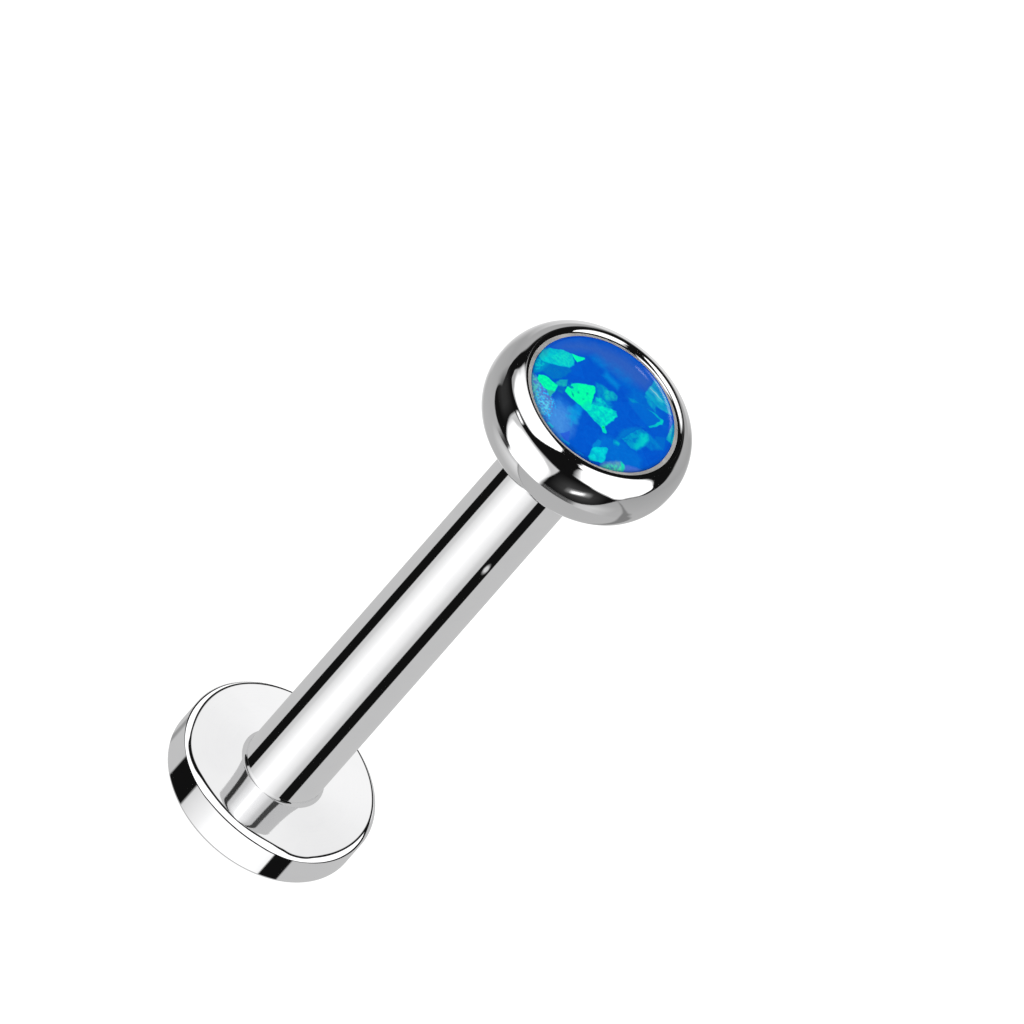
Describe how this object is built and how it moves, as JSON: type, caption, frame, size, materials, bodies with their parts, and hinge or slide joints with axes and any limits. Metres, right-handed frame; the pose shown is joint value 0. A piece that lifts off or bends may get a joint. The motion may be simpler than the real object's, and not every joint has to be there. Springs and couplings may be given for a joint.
{
  "type": "flat back stud",
  "caption": "Round flat back stud for a piercing: a flat disc, a straight post, and a rounded bezel head with a low domed opal that pulls out of the post.",
  "frame": {"origin": "centre of the disc's flat back, which the stud stands on", "axes": "+Z along the post, from the flat back to the stone; the stud is round, so +X and +Y are alike"},
  "size_m": [0.003, 0.003, 0.01],
  "materials": {
    "polished_steel": "polished",
    "opal": "gloss"
  },
  "bodies": {
    "post": {"flat_back_post": "polished_steel"},
    "head": {"bezel_head": "polished_steel", "opal_cabochon": "opal"}
  },
  "joints": [
    {"name": "head_pull", "type": "slide", "parent": "post", "child": "head", "axis": [0, 0, 1], "range_m": [0, 0.009]}
  ]
}
